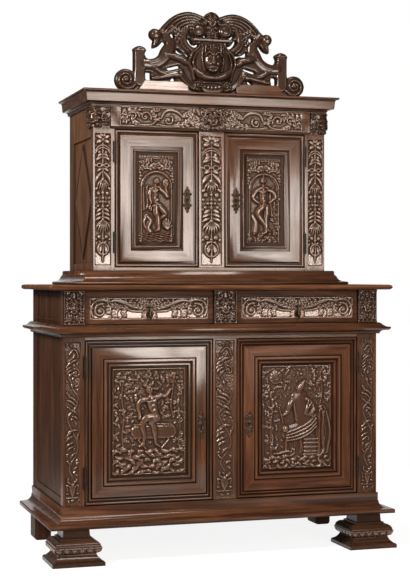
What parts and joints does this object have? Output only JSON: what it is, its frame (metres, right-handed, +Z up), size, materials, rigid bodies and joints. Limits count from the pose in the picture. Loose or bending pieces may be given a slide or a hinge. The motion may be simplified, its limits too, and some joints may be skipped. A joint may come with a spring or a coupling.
{
  "type": "two-part cabinet",
  "caption": "Carved walnut two-part cabinet in Renaissance taste: narrower upper cupboard with pierced crest over a lower cupboard with frieze drawers, on moulded feet.",
  "frame": {"origin": "on the floor, midway between the front of the feet and the back, on the centre line", "axes": "+X to the right seen from the front, -Y towards the front, +Z up"},
  "size_m": [1.35, 0.66, 2.069],
  "materials": {
    "walnut": "waxed and polished",
    "carved_walnut": "carved, waxed",
    "oak": "planed, unpolished",
    "iron": "dark forged",
    "brass": "aged"
  },
  "bodies": {
    "carcase": {"front_feet": "walnut", "plinth_moulding": "walnut", "lower_corner_pilasters": "walnut", "lower_centre_pilaster": "walnut", "lower_front_rails": "walnut", "lower_side_frames": "walnut", "lower_side_panels": "walnut", "lower_back_boards": "oak", "bottom_boards": "oak", "drawer_deck": "oak", "shelves": "oak", "shelf_bearers": "oak", "belt_moulding": "walnut", "drawer_runners": "oak", "drawer_mask_blocks": "carved_walnut", "lower_top_board": "walnut", "upper_base_moulding": "walnut", "upper_corner_pilasters": "walnut", "upper_centre_pilaster": "walnut", "upper_front_rails": "walnut", "upper_side_frames": "walnut", "upper_side_panels": "walnut", "upper_back_boards": "oak", "frieze": "carved_walnut", "corner_consoles": "carved_walnut", "cornice_moulding": "walnut", "upper_top_board": "oak", "crest_board": "carved_walnut", "crest_base_rail": "walnut", "crest_shield": "carved_walnut", "carcase_hinges": "iron"},
    "lower_left_door": {"lower_left_door_frame": "walnut", "lower_left_door_panel": "carved_walnut", "lower_left_door_escutcheon": "brass", "lower_left_door_ironwork": "iron"},
    "lower_left_door_bolt": {"lower_left_door_lock_bolt": "iron"},
    "lower_right_door": {"lower_right_door_frame": "walnut", "lower_right_door_panel": "carved_walnut", "lower_right_door_escutcheon": "brass", "lower_right_door_ironwork": "iron"},
    "lower_right_door_bolt": {"lower_right_door_lock_bolt": "iron"},
    "upper_left_door": {"upper_left_door_frame": "walnut", "upper_left_door_panel": "carved_walnut", "upper_left_door_escutcheon": "brass", "upper_left_door_ironwork": "iron"},
    "upper_left_door_bolt": {"upper_left_door_lock_bolt": "iron"},
    "upper_right_door": {"upper_right_door_frame": "walnut", "upper_right_door_panel": "carved_walnut", "upper_right_door_escutcheon": "brass", "upper_right_door_ironwork": "iron"},
    "upper_right_door_bolt": {"upper_right_door_lock_bolt": "iron"},
    "key": {"key": "iron"},
    "left_drawer": {"left_drawer_front": "carved_walnut", "left_drawer_box": "oak", "left_drawer_pull_plate": "brass"},
    "left_drawer_pull": {"left_drawer_pull_drop": "brass"},
    "right_drawer": {"right_drawer_front": "carved_walnut", "right_drawer_box": "oak", "right_drawer_pull_plate": "brass"},
    "right_drawer_pull": {"right_drawer_pull_drop": "brass"}
  },
  "joints": [
    {"name": "lower_left_door_swing", "type": "hinge", "parent": "carcase", "child": "lower_left_door", "pos_m": [-0.53925, -0.259, 0.489], "axis": [0, 0, -1], "range_deg": [0, 110]},
    {"name": "lower_left_door_bolt_throw", "type": "slide", "parent": "lower_left_door", "child": "lower_left_door_bolt", "axis": [1, 0, 0], "range_m": [0, 0.01]},
    {"name": "lower_right_door_swing", "type": "hinge", "parent": "carcase", "child": "lower_right_door", "pos_m": [0.53925, -0.259, 0.489], "axis": [0, 0, 1], "range_deg": [0, 110]},
    {"name": "lower_right_door_bolt_throw", "type": "slide", "parent": "lower_right_door", "child": "lower_right_door_bolt", "axis": [-1, 0, 0], "range_m": [0, 0.01]},
    {"name": "upper_left_door_swing", "type": "hinge", "parent": "carcase", "child": "upper_left_door", "pos_m": [-0.38625, -0.094, 1.341], "axis": [0, 0, -1], "range_deg": [0, 110]},
    {"name": "upper_left_door_bolt_throw", "type": "slide", "parent": "upper_left_door", "child": "upper_left_door_bolt", "axis": [1, 0, 0], "range_m": [0, 0.01]},
    {"name": "upper_right_door_swing", "type": "hinge", "parent": "carcase", "child": "upper_right_door", "pos_m": [0.38625, -0.094, 1.341], "axis": [0, 0, 1], "range_deg": [0, 110]},
    {"name": "upper_right_door_bolt_throw", "type": "slide", "parent": "upper_right_door", "child": "upper_right_door_bolt", "axis": [-1, 0, 0], "range_m": [0, 0.01]},
    {"name": "key_turn", "type": "hinge", "parent": "upper_right_door", "child": "key", "pos_m": [0.099, -0.09, 1.341], "axis": [0, -1, 0], "range_deg": [0, 90]},
    {"name": "left_drawer_slide", "type": "slide", "parent": "carcase", "child": "left_drawer", "axis": [0, -1, 0], "range_m": [0, 0.36]},
    {"name": "left_drawer_pull_swing", "type": "hinge", "parent": "left_drawer", "child": "left_drawer_pull", "pos_m": [-0.29325, -0.268, 0.934], "axis": [-1, 0, 0], "range_deg": [0, 80]},
    {"name": "right_drawer_slide", "type": "slide", "parent": "carcase", "child": "right_drawer", "axis": [0, -1, 0], "range_m": [0, 0.36]},
    {"name": "right_drawer_pull_swing", "type": "hinge", "parent": "right_drawer", "child": "right_drawer_pull", "pos_m": [0.29325, -0.268, 0.934], "axis": [-1, 0, 0], "range_deg": [0, 80]}
  ],
  "couplings": [
    {"joint": "upper_right_door_bolt_throw", "follows": "key_turn", "m_per_rad": 0.00636}
  ]
}
